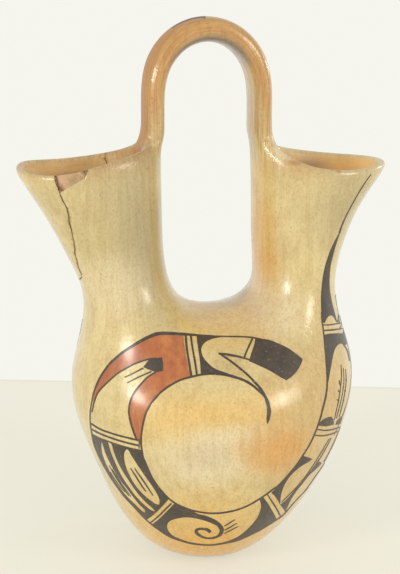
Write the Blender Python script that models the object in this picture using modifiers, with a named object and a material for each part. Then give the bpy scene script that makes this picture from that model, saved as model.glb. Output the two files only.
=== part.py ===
# Two-spouted pottery jar with a stirrup handle: a coil-built earthenware vessel.
# The jar is shaped as one open sheet of clay, thickened to its wall, and parted
# along the joins at which a potter builds it up: base, belly, shoulder, two
# spouts and the handle that bridges them. A broken piece of the left spout is
# a solid of its own, seated back along its fracture.
# Metres, +Z up, origin on the ground under the middle of the handle. +X runs through both spouts.
import math

import bmesh
import bpy
from mathutils import Matrix, Vector

# Clay thickness
WALL = 0.0056
FLOOR_WALL = 0.0085
LIP = 0.0054
INNER_LIP = 0.0110
LEG_THICKNESS = 0.0106
ARCH_THICKNESS = 0.0121

# Gap left between two pieces that meet
SEAM_GAP = 0.0003

# Outer surface of the foot and body, ring by ring:
# height, half width along X, half depth along Y, centre along X, clay thickness
BODY_RINGS = [
    (0.0000, 0.0155, 0.0155, -0.0006, FLOOR_WALL),
    (0.0000, 0.0215, 0.0215, -0.0006, FLOOR_WALL),
    (0.0055, 0.0334, 0.0334, -0.0010, FLOOR_WALL),
    (0.0250, 0.0494, 0.0490, 0.0003, WALL),
    (0.0500, 0.0614, 0.0604, 0.0031, WALL),
    (0.0757, 0.0712, 0.0676, 0.0027, WALL),
    (0.0977, 0.0737, 0.0645, 0.0032, WALL),
    (0.1157, 0.0680, 0.0500, 0.0034, WALL),
]

# Saddle of clay between the spouts
SADDLE_HEIGHT = 0.1291
SADDLE_HALF_WIDTH = 0.0130
SADDLE_HALF_DEPTH = 0.0120
SADDLE_CENTRE = 0.0080

# Rim of a spout
RIM_OVER_SADDLE = 0.0706
RIM_REACH = 0.0585
RIM_SHIFT = -0.0004
RIM_RISE = 0.0135
# Unevenness of the rims, by spout (-1 or 1) and spoke round it
RIM_LIFTS = {
    (-1, 0): 0.0052, (-1, 1): 0.0006, (-1, 2): 0.0005, (-1, 3): 0.0045, (-1, 4): 0.0012,
    (1, 0): -0.0034, (1, 1): -0.0016, (1, 6): 0.0010,
}
# How late round the rim its rise towards the handle begins
RISE_BEND = 2.5
RIM_HEIGHT = SADDLE_HEIGHT + RIM_OVER_SADDLE

# Outer surface of one spout, ring by ring; the other is nearly its mirror image:
# height over the saddle, reach of its centre along X, half width, half depth, shift of both
# spouts along X, lean of the sides that face each other along X, spread of the left spout's
# outer side, rise towards the handle, clay thickness, and its thickness on the inner side
SPOUT_RINGS = [
    (0.0096, 0.0426, 0.0201, 0.0285, 0.0018, 0.0016, -0.0004, 0.0000, WALL, WALL),
    (0.0296, 0.0463, 0.0230, 0.0275, -0.0004, 0.0010, 0.0004, 0.0000, WALL, WALL),
    (0.0521, 0.0510, 0.0279, 0.0275, -0.0002, 0.0006, 0.0018, 0.0010, WALL, 0.0080),
    (RIM_OVER_SADDLE, RIM_REACH, 0.0356, 0.0290, RIM_SHIFT, 0.0000, 0.0004, RIM_RISE, LIP, INNER_LIP),
]

# Joins at which the pieces part
BASE_JOIN = 0.0320
SHOULDER_JOIN = 0.1020
SPOUT_JOIN_OVER_SADDLE = 0.0139
HANDLE_JOIN_OVER_RIM = 0.0023
SPOUT_JOIN = SADDLE_HEIGHT + SPOUT_JOIN_OVER_SADDLE
HANDLE_JOIN = RIM_HEIGHT + RIM_RISE + HANDLE_JOIN_OVER_RIM

# Handle: a strap that grows out of the rims and arches over
STRAP_HALF_WIDTH = 0.0125
STRAP_ROOT_RISE = 0.0022
STRAP_LEG = 0.0180
ARCH_RISE = 0.0243
GAP_HALF_WIDTH = 0.0215
ROOT_HALF_WIDTH = 0.0208
# Fullness of the arch's cage over the arch it makes
ARCH_FULLNESS_X = 1.02
ARCH_FULLNESS_Z = 1.08

# Broken piece of the left spout. Its fracture is a jagged line, drawn on an upright plane
# through the middle of the rim as (distance along the plane, height over the rim), and
# carried straight through the spout. Its heights stretch with the spout, so that its foot
# stays over the join below.
FRACTURE_TURN = math.radians(-34.3)
FRACTURE_FOOT_OVER_JOIN = 0.0039
FRACTURE = [
    (-0.0039, 0.0300),
    (-0.0027, 0.0023),
    (-0.0006, -0.0032),
    (0.0003, -0.0067),
    (0.0023, -0.0137),
    (0.0020, -0.0217),
    (0.0027, -0.0297),
    (0.0011, -0.0377),
    (0.0015, -0.0440),
    (0.0020, -0.0492),
    (-0.0030, -0.0524),
    (-0.0309, -0.0528),
    (-0.0609, 0.0300),
]

# Chip in the left rim beside the fracture: its broken face, ruled between a line near the rim's
# inner edge and a line down the spout's outer side, both from the middle of the rim. The face
# runs on past both lines, and what lies outside it is gone.
CHIP_UPPER_LINE = [
    (-0.0235, -0.0170, 0.0015),
    (-0.0185, -0.0209, 0.0022),
    (-0.0146, -0.0227, 0.0027),
    (-0.0110, -0.0240, 0.0031),
    (-0.0074, -0.0248, 0.0036),
    (-0.0036, -0.0253, 0.0044),
    (-0.0023, -0.0260, 0.0060),
]
CHIP_LOWER_LINE = [
    (-0.0190, -0.0205, -0.0090),
    (-0.0154, -0.0236, -0.0069),
    (-0.0142, -0.0246, -0.0047),
    (-0.0114, -0.0262, -0.0028),
    (-0.0080, -0.0271, -0.0005),
    (-0.0046, -0.0278, 0.0012),
    (-0.0026, -0.0280, 0.0055),
]
CHIP_CUT = Vector((-0.0036, -0.0112, 0.0024))
CHIP_OVER_RIM = 0.0050
CHIP_RUN_ON = 1.6

# How crisp the edges of the rims and the strap are, from 0 round to 1 sharp
EDGE_CREASE = 0.22

RING_COLUMNS = 12
SPOUT_COLUMNS = 8
ARCH_STEPS = 6
SMOOTHING_LEVELS = 2
# Half size of a cutter that reaches past the whole jar
REACH = 0.3

CREAM = (0.66, 0.52, 0.27)
BLUSHED = (0.58, 0.34, 0.13)
ROUGHNESS = 0.34


def clear_scene():
    for obj in list(bpy.data.objects):
        bpy.data.objects.remove(obj)


def fullness(columns):
    """How far a cage ring stands outside the smooth ring it makes, as a factor."""
    return 6 / (4 + 2 * math.cos(2 * math.pi / columns))


def body_place(height, half_width, half_depth, centre):
    grow = fullness(RING_COLUMNS)

    def place(side, spoke):
        turn = math.radians(-75 + 30 * spoke)
        return Vector((
            side * half_width * grow * math.cos(turn) + centre,
            half_depth * grow * math.sin(turn),
            height,
        ))

    return place


def spout_place(over_saddle, reach, half_width, half_depth, shift, lean, spread, rise, lifts):
    grow = fullness(SPOUT_COLUMNS)

    def place(side, spoke):
        turn = math.radians(-112.5 + 45 * spoke)
        inward = (1 - math.cos(turn)) / 2
        return Vector((
            side * (reach + half_width * grow * math.cos(turn)) + shift
            + lean * inward - (spread * (1 - inward) if side < 0 else 0),
            half_depth * grow * math.sin(turn),
            SADDLE_HEIGHT + over_saddle + rise * inward ** RISE_BEND + lifts.get((side, spoke), 0),
        ))

    return place


def clay_sheet():
    bm = bmesh.new()
    side = bm.verts.layers.int.new("side")
    spoke = bm.verts.layers.int.new("spoke")
    thick = bm.verts.layers.float.new("thick")

    def shape(verts, place, wall):
        for v in verts:
            v.co = place(v[side], v[spoke])
            v[thick] = wall / ARCH_THICKNESS

    def extrude(edges):
        made = bmesh.ops.extrude_edge_only(bm, edges=edges)["geom"]
        verts = [g for g in made if isinstance(g, bmesh.types.BMVert)]
        new_edges = [
            g for g in made
            if isinstance(g, bmesh.types.BMEdge) and g.is_boundary and all(v in verts for v in g.verts)
        ]
        return verts, new_edges

    foot = bmesh.ops.create_circle(
        bm, cap_ends=True, segments=RING_COLUMNS, radius=BODY_RINGS[0][1],
        matrix=Matrix.Rotation(math.radians(15), 4, "Z"),
    )["verts"]
    for v in foot:
        v[side] = 1 if v.co.x > 0 else -1
        v[spoke] = round((math.degrees(math.atan2(v.co.y, abs(v.co.x))) + 75) / 30)
    loop = [e for e in bm.edges if e.is_boundary]
    for number, (*ring, wall) in enumerate(BODY_RINGS):
        verts = foot
        if number:
            verts, loop = extrude(loop)
        shape(verts, body_place(*ring), wall)

    # Saddle: the front and back of the shoulder are bridged, which leaves a mouth on each side
    ends = [e for e in loop if e.verts[0][side] != e.verts[1][side]]
    bmesh.ops.bridge_loops(bm, edges=ends)
    long_edges = [
        e for e in bm.edges
        if e.is_boundary and e.verts[0][side] == e.verts[1][side]
        and {v[spoke] for v in e.verts} == {0, 5}
    ]
    cut = bmesh.ops.subdivide_edges(bm, edges=long_edges, cuts=2, use_grid_fill=True)
    for v in {g for g in cut["geom_inner"] if isinstance(g, bmesh.types.BMVert)}:
        v[side] = 1 if v.co.x > SADDLE_CENTRE else -1
        v[spoke] = 6 if v.co.y > 0 else 7
        v[thick] = WALL / ARCH_THICKNESS
        v.co = Vector((
            v[side] * SADDLE_HALF_WIDTH + SADDLE_CENTRE,
            math.copysign(SADDLE_HALF_DEPTH, v.co.y),
            SADDLE_HEIGHT,
        ))

    inner_edges = []
    for which in (-1, 1):
        loop = [e for e in bm.edges if e.is_boundary and all(v[side] == which for v in e.verts)]
        for ring in SPOUT_RINGS:
            *sizes, wall, inner_wall = ring
            verts, loop = extrude(loop)
            shape(verts, spout_place(*sizes, RIM_LIFTS if ring is SPOUT_RINGS[-1] else {}), wall)
            for v in verts:
                if v[spoke] in (6, 7):
                    v[thick] = inner_wall / ARCH_THICKNESS
        inner_edges += [e for e in loop if {v[spoke] for v in e.verts} == {6, 7}]

    # Handle: the inner edge of one rim is drawn up as a strap, over and down to the other
    root = HANDLE_JOIN + STRAP_ROOT_RISE
    spring = root + STRAP_LEG
    path = [(-ROOT_HALF_WIDTH, root, LEG_THICKNESS), (-GAP_HALF_WIDTH, spring, LEG_THICKNESS)]
    for step in range(1, ARCH_STEPS):
        turn = math.pi * (1 - step / ARCH_STEPS)
        path.append((
            GAP_HALF_WIDTH * ARCH_FULLNESS_X * math.cos(turn),
            spring + ARCH_RISE * ARCH_FULLNESS_Z * math.sin(turn),
            LEG_THICKNESS + (ARCH_THICKNESS - LEG_THICKNESS) * math.sin(turn),
        ))
    path += [(GAP_HALF_WIDTH, spring, LEG_THICKNESS), (ROOT_HALF_WIDTH, root, LEG_THICKNESS)]
    edge = inner_edges[0]
    for across, height, strap in path:
        verts, made = extrude([edge])
        edge = next(e for e in made if set(e.verts) == set(verts))
        for v in verts:
            v.co = Vector((across, math.copysign(STRAP_HALF_WIDTH, v.co.y), height))
            v[thick] = strap / ARCH_THICKNESS
    bmesh.ops.bridge_loops(bm, edges=[edge, inner_edges[1]])

    bmesh.ops.recalc_face_normals(bm, faces=bm.faces)
    if min(bm.faces, key=lambda f: f.calc_center_median().z).normal.z > 0:
        bmesh.ops.reverse_faces(bm, faces=bm.faces)
    shares = [v[thick] for v in bm.verts]
    mesh = bpy.data.meshes.new("clay_sheet")
    bm.to_mesh(mesh)
    bm.free()
    return mesh, shares


def cutter(name, bm, home):
    bmesh.ops.recalc_face_normals(bm, faces=bm.faces)
    mesh = bpy.data.meshes.new(name)
    bm.to_mesh(mesh)
    bm.free()
    obj = bpy.data.objects.new(name, mesh)
    obj.display_type = "WIRE"
    obj.hide_render = True
    home.objects.link(obj)
    return obj


def box_cutter(name, low, high, home):
    bm = bmesh.new()
    size = [b - a for a, b in zip(low, high)]
    middle = [(a + b) / 2 for a, b in zip(low, high)]
    bmesh.ops.create_cube(bm, size=1, matrix=Matrix.Translation(middle) @ Matrix.Diagonal((*size, 1)))
    return cutter(name, bm, home)


def rim_middle():
    return Vector((RIM_SHIFT - RIM_REACH, 0, RIM_HEIGHT))


def fracture_cutter(name, offset, home):
    """The space taken by the broken piece, its fracture moved along the plane by the offset."""
    drop = RIM_OVER_SADDLE - SPOUT_JOIN_OVER_SADDLE - FRACTURE_FOOT_OVER_JOIN
    stretch = drop / -min(height for _, height in FRACTURE)
    bm = bmesh.new()
    outline = [bm.verts.new((along + offset, -REACH, height * stretch)) for along, height in FRACTURE]
    face = bm.faces.new(outline)
    made = bmesh.ops.extrude_face_region(bm, geom=[face])["geom"]
    through = [g for g in made if isinstance(g, bmesh.types.BMVert)]
    bmesh.ops.translate(bm, verts=through, vec=(0, 2 * REACH, 0))
    bmesh.ops.rotate(bm, verts=bm.verts, cent=(0, 0, 0), matrix=Matrix.Rotation(FRACTURE_TURN, 3, "Z"))
    bmesh.ops.translate(bm, verts=bm.verts, vec=rim_middle())
    return cutter(name, bm, home)


def chip_cutter(name, home):
    """A block that stands on the broken face of the chip and takes away what is outside it."""
    columns = []
    for upper, lower in zip(CHIP_UPPER_LINE, CHIP_LOWER_LINE):
        upper, lower = Vector(upper), Vector(lower)
        columns.append((upper + Vector((0, 0, CHIP_OVER_RIM)), upper, upper.lerp(lower, CHIP_RUN_ON)))
    bm = bmesh.new()
    grid = bmesh.ops.create_grid(bm, x_segments=len(columns) - 1, y_segments=2, size=1)["verts"]
    grid.sort(key=lambda v: (round(v.co.x, 3), -v.co.y))
    for v, place in zip(grid, (place for column in columns for place in column)):
        v.co = rim_middle() + place
    face = bmesh.ops.triangulate(bm, faces=bm.faces)["faces"]
    made = bmesh.ops.extrude_face_region(bm, geom=face)["geom"]
    outside = [g for g in made if isinstance(g, bmesh.types.BMVert)]
    bmesh.ops.translate(bm, verts=outside, vec=CHIP_CUT)
    return cutter(name, bm, home)


def clay(name, colour):
    material = bpy.data.materials.new(name)
    material.use_nodes = True
    surface = material.node_tree.nodes["Principled BSDF"]
    surface.inputs["Base Color"].default_value = (*colour, 1)
    surface.inputs["Roughness"].default_value = ROUGHNESS
    surface.inputs["Metallic"].default_value = 0
    material.diffuse_color = (*colour, 1)
    return material


def piece(name, sheet, shares, colour, kept, removed, home):
    """One piece of the jar: the thickened sheet, inside every kept cutter and outside every removed one."""
    obj = bpy.data.objects.new(name, sheet.copy())
    home.objects.link(obj)
    group = obj.vertex_groups.new(name="thick")
    for index, share in enumerate(shares):
        group.add([index], share, "REPLACE")
    wall = obj.modifiers.new("wall", "SOLIDIFY")
    wall.thickness = ARCH_THICKNESS
    wall.offset = -1
    wall.use_even_offset = True
    wall.vertex_group = group.name
    wall.edge_crease_outer = EDGE_CREASE
    wall.edge_crease_inner = EDGE_CREASE
    smooth = obj.modifiers.new("smooth", "SUBSURF")
    smooth.levels = SMOOTHING_LEVELS
    smooth.render_levels = SMOOTHING_LEVELS
    for operation, cutters in (("INTERSECT", kept), ("DIFFERENCE", removed)):
        for other in cutters:
            cut = obj.modifiers.new(other.name, "BOOLEAN")
            cut.operation = operation
            cut.solver = "EXACT"
            cut.object = other
    obj.data.materials.append(clay(name, colour))
    return obj


def main():
    clear_scene()
    jar = bpy.data.collections.new("jar")
    cutters = bpy.data.collections.new("cutters")
    for home in (jar, cutters):
        bpy.context.scene.collection.children.link(home)

    half = SEAM_GAP / 2

    def region(name, floor, top, left=-REACH, right=REACH):
        return box_cutter(name, (left, -REACH, floor), (right, REACH, top), cutters)

    base_space = region("base_space", -REACH, BASE_JOIN - half)
    belly_space = region("belly_space", BASE_JOIN + half, SHOULDER_JOIN - half)
    shoulder_space = region("shoulder_space", SHOULDER_JOIN + half, SPOUT_JOIN - half)
    left_space = region("left_space", SPOUT_JOIN + half, HANDLE_JOIN - half, right=0)
    right_space = region("right_space", SPOUT_JOIN + half, HANDLE_JOIN - half, left=0)
    handle_space = region("handle_space", HANDLE_JOIN + half, REACH)
    sherd_space = fracture_cutter("sherd_space", -half, cutters)
    sherd_bed = fracture_cutter("sherd_bed", half, cutters)
    chip = chip_cutter("chip", cutters)

    sheet, shares = clay_sheet()
    piece("base", sheet, shares, CREAM, [base_space], [], jar)
    piece("belly", sheet, shares, CREAM, [belly_space], [], jar)
    piece("shoulder", sheet, shares, CREAM, [shoulder_space], [], jar)
    piece("left_spout", sheet, shares, CREAM, [left_space], [sherd_bed, chip], jar)
    piece("spout_sherd", sheet, shares, CREAM, [left_space, sherd_space], [], jar)
    piece("right_spout", sheet, shares, CREAM, [right_space], [], jar)
    piece("handle", sheet, shares, BLUSHED, [handle_space], [], jar)


main()
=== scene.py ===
from math import atan2, ceil, copysign, cos, degrees, exp, pi, radians, sin

import bmesh
import bpy
from mathutils import Matrix, Vector, interpolate, noise
from mathutils.bvhtree import BVHTree


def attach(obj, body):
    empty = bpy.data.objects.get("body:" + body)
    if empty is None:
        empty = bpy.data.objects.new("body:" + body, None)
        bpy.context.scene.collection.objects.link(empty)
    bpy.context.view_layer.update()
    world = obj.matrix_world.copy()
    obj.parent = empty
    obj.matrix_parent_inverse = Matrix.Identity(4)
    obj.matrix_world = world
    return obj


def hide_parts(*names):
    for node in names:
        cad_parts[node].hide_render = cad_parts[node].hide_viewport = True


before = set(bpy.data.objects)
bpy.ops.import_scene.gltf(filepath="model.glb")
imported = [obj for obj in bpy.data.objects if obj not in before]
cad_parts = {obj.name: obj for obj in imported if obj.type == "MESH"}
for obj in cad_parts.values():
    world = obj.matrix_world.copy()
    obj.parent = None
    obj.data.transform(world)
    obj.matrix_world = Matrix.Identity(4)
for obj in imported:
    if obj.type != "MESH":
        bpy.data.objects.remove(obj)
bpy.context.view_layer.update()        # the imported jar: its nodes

scene = bpy.context.scene
noise.seed_set(5)         # the fracture wanders the same way on each run
print("jar: frame loaded,", len(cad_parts), "pieces of clay")


def newObject(name, data):
    obj = bpy.data.objects.new(name, data)
    scene.collection.objects.link(obj)
    return obj


def meshFrom(name, bm):
    mesh = bpy.data.meshes.new(name)
    bm.to_mesh(mesh)
    bm.free()
    return mesh


def vertsOf(made):
    return [g for g in made if isinstance(g, bmesh.types.BMVert)]


def evaluatedMesh(obj):
    return bpy.data.meshes.new_from_object(obj.evaluated_get(bpy.context.evaluated_depsgraph_get()))


# Camera, first because the ornament is drawn as it is seen from the front

camera = {
    "distance": 0.575,        # level distance from the middle of the jar
    "height": 0.2897,
    "yaw": 13.0,              # degrees round to the left of the front
    "pitch": 14.7,            # degrees down
    "lens": 73.76,            # mm, on a sensor 36 mm tall
    "sensor": 36.0,
    "picture": (400, 574),    # pixels
    "aside": 6.5,             # pixels that the jar stands right of the lens axis
}


def cameraFrame():
    yaw, pitch = radians(camera["yaw"]), radians(camera["pitch"])
    place = Vector((-camera["distance"] * sin(yaw), -camera["distance"] * cos(yaw), camera["height"]))
    ahead = Vector((sin(yaw) * cos(pitch), cos(yaw) * cos(pitch), -sin(pitch)))
    right = Vector((cos(yaw), -sin(yaw), 0))
    return place, ahead, right, right.cross(ahead)


def makeCamera():
    data = bpy.data.cameras.new("camera")
    data.lens = camera["lens"]
    data.sensor_width = camera["sensor"]
    data.shift_x = -camera["aside"] / camera["picture"][1]
    data.clip_start = 0.01
    place, ahead, right, up = cameraFrame()
    scene.camera = newObject("camera", data)
    scene.camera.matrix_world = Matrix.Translation(place) @ Matrix((right, up, -ahead)).transposed().to_4x4()


def sightLine(x, y):
    # from the camera through one pixel of the picture
    place, ahead, right, up = cameraFrame()
    wide, tall = camera["picture"]
    pixel = camera["sensor"] / tall / camera["lens"]
    aim = ahead + right * (x - wide / 2 - camera["aside"]) * pixel - up * (y - tall / 2) * pixel
    return place, aim.normalized()


makeCamera()
print("jar: camera set")


# Nodes of the materials. A socket knows its own tree; only what starts a chain is told its tree.

def feed(socket, value):
    # a number, a colour or another socket
    if isinstance(value, bpy.types.NodeSocket):
        socket.id_data.links.new(value, socket)
    else:
        socket.default_value = (*value, 1) if socket.type == "RGBA" else value


def addNode(tree, kind, inputs, output=0, **settings):
    node = tree.nodes.new(kind)
    for key, value in settings.items():
        setattr(node, key, value)
    for key, value in inputs.items():
        feed(node.inputs[key], value)
    return node.outputs[output]


def newMaterial(name, roughness, coat=0.0, coatRoughness=0.1):
    material = bpy.data.materials.new(name)
    material.use_nodes = True
    surface = material.node_tree.nodes["Principled BSDF"]
    surface.inputs["Roughness"].default_value = roughness
    surface.inputs["Coat Weight"].default_value = coat
    surface.inputs["Coat Roughness"].default_value = coatRoughness
    return material, material.node_tree, surface


def objectPoint(tree, stretch=(1, 1, 1), shift=(0, 0, 0)):
    coords = addNode(tree, "ShaderNodeTexCoord", {}, "Object")
    return addNode(tree, "ShaderNodeMapping", {"Vector": coords, "Scale": stretch, "Location": shift})


def noiseField(tree, scale, detail=3.0, roughness=0.5, stretch=(1, 1, 1)):
    return addNode(tree, "ShaderNodeTexNoise", {
        "Vector": objectPoint(tree, stretch), "Scale": scale, "Detail": detail, "Roughness": roughness})


def remap(value, low, high, toLow=0.0, toHigh=1.0, curve="SMOOTHSTEP"):
    return addNode(value.id_data, "ShaderNodeMapRange", {
        "Value": value, "From Min": low, "From Max": high, "To Min": toLow, "To Max": toHigh},
        interpolation_type=curve)


def fallOff(value, low, high):
    return remap(value, low, high, 1.0, 0.0)


def combine(operation, first, second):
    tree = (first if isinstance(first, bpy.types.NodeSocket) else second).id_data
    clamp = operation == "MAXIMUM"
    return addNode(tree, "ShaderNodeMath", {0: first, 1: second}, operation=operation, use_clamp=clamp)


def times(first, second):
    return combine("MULTIPLY", first, second)


def plus(first, second):
    return combine("ADD", first, second)


def mixColour(share, under, over, blend="MIX"):
    return addNode(share.id_data, "ShaderNodeMix", {0: share, 6: under, 7: over}, 2,
                   data_type="RGBA", blend_type=blend)


def dress(surface, colour, height, strength, distance):
    # the colour and relief of a finished material
    feed(surface.inputs["Base Color"], colour)
    normal = addNode(height.id_data, "ShaderNodeBump", {"Height": height, "Strength": strength, "Distance": distance})
    feed(surface.inputs["Normal"], normal)
    return normal


slip = {
    "cream": (0.80, 0.65, 0.315),
    "shade": (0.62, 0.465, 0.195),       # where the slip lies thin; also painted shade on the strap towards the gap
    "blush": (0.81, 0.455, 0.14),        # oranges of the fire clouds
    "ember": (0.80, 0.41, 0.105),
    "amber": (0.86, 0.50, 0.085),
    "gold": (0.85, 0.58, 0.20),
    # tan tone, and painted shade low on the right of the body
    "tanAndShade": (0.68, 0.45, 0.16),
    # pale patches of slip, and painted highlights low on the necks and along the strap's outer right edge
    "paleAndHighlight": (0.85, 0.73, 0.48),
    # olive tone of the slip, and painted shade on the necks' sides and the strap's legs towards the gap
    "oliveAndShade": (0.50, 0.405, 0.21),
    "handle": (0.60, 0.32, 0.095),
    "scorch": (0.50, 0.235, 0.065),
    "paintedShade": (0.30, 0.225, 0.17),         # painted shade, darker under the arch and deep inside the spouts
    "inside": (0.95, 0.64, 0.27),
    "litOrange": (1.0, 0.62, 0.21),          # painted light, brighter orange where the lamps reach into the right spout
    "smudge": (0.60, 0.45, 0.27),
    "speck": (0.16, 0.09, 0.04),
    "roughness": 0.38, "coat": 0.9, "coatRoughness": 0.11,
    "wander": 0.6,                       # how far a cloud's edge wanders, as a share of its size
    "streaks": 0.24, "grain": 0.34,      # how dark the polishing streaks and the clay's grain show
    "bump": (0.4, 0.0004),
}

# Clouds of the fire, with painted highlights and painted shade among them: middle and half size in mm, strength, tint
clouds = [
    ((16, -64, 90), (18, 30, 14), 0.30, "blush"),
    ((-12, -62, 93.5), (38, 30, 9), 0.90, "gold"),
    ((-34, -58, 88), (20, 30, 10), 0.60, "gold"),
    ((-15, -64, 71), (28, 30, 15), 0.85, "paleAndHighlight"),
    ((6, -64, 83), (26, 30, 6), 0.50, "paleAndHighlight"),
    ((-16.5, -64, 75), (12, 30, 7), 0.35, "smudge"),
    ((-12, -56, 44), (46, 40, 13), 0.60, "gold"),
    ((-10, -50, 12), (80, 60, 28), 1.00, "amber"),
    ((25.8, -15, 166), (6, 30, 34), 0.50, "blush"),
    ((29, -20, 148), (5, 30, 14), 0.30, "blush"),
    ((19.5, -21, 136), (8, 30, 15), 0.65, "blush"),
    ((-3, -18, 125), (34, 30, 12), 0.70, "gold"),
    ((43, -20, 201), (16, 30, 5), 0.60, "handle"),
    # tan tone, with painted shade on the lower right of the body
    ((45, -50, 80), (34, 50, 50), 0.70, "tanAndShade"),
    ((19.5, -64, 74), (17, 30, 13), 0.85, "ember"),
    # painted highlight low on the right neck
    ((28.5, -27, 132.5), (13, 30, 14), 0.70, "paleAndHighlight"),
    # olive tone, with painted shade, on the left neck and the foot of the strap's left leg
    ((-33, -25, 170), (16, 40, 47), 0.88, "oliveAndShade"),
    ((-50, -28, 184), (40, 45, 36), 0.60, "oliveAndShade"),
    # painted highlight low on the left neck
    ((-50.5, -27, 146), (16, 30, 17), 0.60, "paleAndHighlight"),
    # olive tone, with painted shade, on the right neck's far side
    ((62, -22, 186), (24, 45, 26), 0.60, "oliveAndShade"),
    ((38, -22, 204), (6, 6, 1.8), 0.75, "scorch"),
    ((58.9, -27, 200.4), (1.6, 6, 1.2), 0.80, "scorch"),
    ((-10, 62, 60), (50, 40, 36), 0.70, "blush"),
    ((-55, 30, 150), (34, 40, 32), 0.40, "gold"),
]

insideClouds = [
    # painted light: brighter orange on the far wall inside the right spout
    ((82, 12, 198), (18, 40, 30), 1.00, "litOrange"),
    # painted shade under the back rim inside the right spout
    ((61, 22, 194), (10, 30, 6), 0.65, "paintedShade"),
    ((-42, 20, 203), (18, 40, 14), 0.60, "cream"),
    # painted shade deep inside the left spout
    ((-66, 22, 187), (22, 30, 9), 0.50, "paintedShade"),
]


def layClouds(colour, patches, wander=0.0, hold=1.0):
    # soft patches: full in the middle, none outside, with a wandering edge
    tree = colour.id_data
    for middle, size, strength, tint in patches:
        place = objectPoint(tree, [1000 / s for s in size], [-m / s for m, s in zip(middle, size)])
        away = plus(addNode(tree, "ShaderNodeVectorMath", {0: place}, 1, operation="LENGTH"), wander)
        patch = times(times(fallOff(away, 0.15, 1.5), strength), hold)
        colour = mixColour(patch, colour, slip.get(tint, tint))
    return colour


def specks(tree, scale, size, share):
    # dots of grit or pits, only where a coarser field lets them
    grit = addNode(tree, "ShaderNodeTexVoronoi", {"Vector": objectPoint(tree), "Scale": scale})
    return times(fallOff(grit, size * 0.4, size), remap(noiseField(tree, scale * 1.3, 2), share, share + 0.08))


strap = {
    # heights between which the fire's tint, the strap's own marks and the painted shade under the arch come in, and
    # its legs end
    "tinted": (0.204, 0.234), "marked": (0.195, 0.212), "archShade": (0.245, 0.256), "legs": (0.224, 0.250),
    # how far from the middle of the arch its inner face and inner half lie, which take painted shade, and its outer
    # edge, painted lighter on the right half
    "gapShade": (0.0222, 0.0248), "inner": (0.0232, 0.0275), "outer": (0.0285, 0.0318),
    "right": (-0.012, 0.004),            # along X, where the right half begins
    "spring": 0.236, "squeeze": 0.836,   # where the strap starts to bend, and how it is drawn out upwards
    "strokes": (1100.0, 500.0, 45.0),    # of the polishing stone: out from the arch, across it and along it
}


def strapTint(colour, wander):
    # the handle took more of the fire; it has painted shade towards the gap and under the arch, and painted light on
    # the outer edge of its right half
    tree = colour.id_data
    split = tree.nodes.new("ShaderNodeSeparateXYZ")
    feed(split.inputs[0], objectPoint(tree))
    along, across, height = split.outputs
    tinted = remap(plus(height, times(wander, 0.02)), *strap["tinted"], 0.0, 0.92)
    colour = mixColour(tinted, colour, slip["handle"])
    over = times(combine("MAXIMUM", combine("SUBTRACT", height, strap["spring"]), 0.0), strap["squeeze"])
    radius = combine("POWER", plus(combine("POWER", over, 2.0), combine("POWER", along, 2.0)), 0.5)
    marked = remap(height, *strap["marked"])
    # painted shade: darker on the face towards the gap and on the inner half of the legs
    gapShade = times(fallOff(radius, *strap["gapShade"]), marked)
    inner = times(fallOff(radius, *strap["inner"]), times(fallOff(height, *strap["legs"]), marked))
    outer = times(remap(radius, *strap["outer"]), marked)
    right = remap(along, *strap["right"])
    way = zip(range(3), (radius, across, plus(height, along)), strap["strokes"])
    stone = addNode(tree, "ShaderNodeCombineXYZ", {k: times(value, scale) for k, value, scale in way})
    field = addNode(tree, "ShaderNodeTexNoise", {"Vector": stone, "Scale": 1.0})
    strokes = times(remap(field, 0.46, 0.62), marked)
    # painted shade towards the gap, on the legs' inner half and under the arch; painted light on the outer right edge
    for mask, share, tint in (
        (gapShade, 0.6, "shade"),
        (inner, 0.45, "oliveAndShade"),
        (strokes, 0.65, "scorch"),
        (times(fallOff(field, 0.30, 0.45), marked), 0.35, "gold"),
        (times(outer, right), 0.85, "paleAndHighlight"),
        (times(outer, combine("SUBTRACT", 1.0, right)), 0.7, "scorch"),
        (times(gapShade, remap(height, *strap["archShade"])), 1.0, "paintedShade"),
    ):
        colour = mixColour(times(mask, share), colour, slip[tint])
    return colour, strokes


def slipMaterial():
    material, tree, surface = newMaterial("burnishedSlip", slip["roughness"], slip["coat"], slip["coatRoughness"])
    wander = remap(noiseField(tree, 30, 4, 0.62), 0, 1, -slip["wander"], slip["wander"], "LINEAR")
    mottle = noiseField(tree, 75, 5, 0.6)
    streaks = noiseField(tree, 1, 4, 0.55, (420, 420, 26))
    grain = noiseField(tree, 1, 4, 0.75, (900, 900, 640))
    colour = mixColour(remap(mottle, 0.35, 0.75), slip["cream"], slip["shade"])
    colour = mixColour(times(remap(noiseField(tree, 16, 2), 0.35, 0.7), 0.45), colour, slip["cream"])
    colour, strapStrokes = strapTint(colour, wander)
    colour = layClouds(colour, clouds, wander)
    for field, low, high, share in ((streaks, 0.4, 0.7, slip["streaks"]), (grain, 0.44, 0.66, slip["grain"])):
        colour = mixColour(times(remap(field, low, high), share), colour, slip["shade"], "MULTIPLY")
    grit = combine("MAXIMUM", times(specks(tree, 240, 0.16, 0.60), 0.8), times(specks(tree, 620, 0.30, 0.56), 0.5))
    colour = mixColour(grit, colour, slip["speck"])
    # the gloss wanders with the strokes of the polishing stone
    gloss = plus(remap(streaks, 0.3, 0.8, -0.05, 0.09), slip["roughness"])
    feed(surface.inputs["Roughness"], plus(gloss, times(grit, 0.3)))
    relief = plus(times(streaks, 0.5), times(mottle, 0.3))
    relief = plus(plus(relief, times(grain, 0.5)), times(strapStrokes, 0.3))
    feed(surface.inputs["Coat Normal"], dress(surface, colour, relief, *slip["bump"]))
    return material


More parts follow.
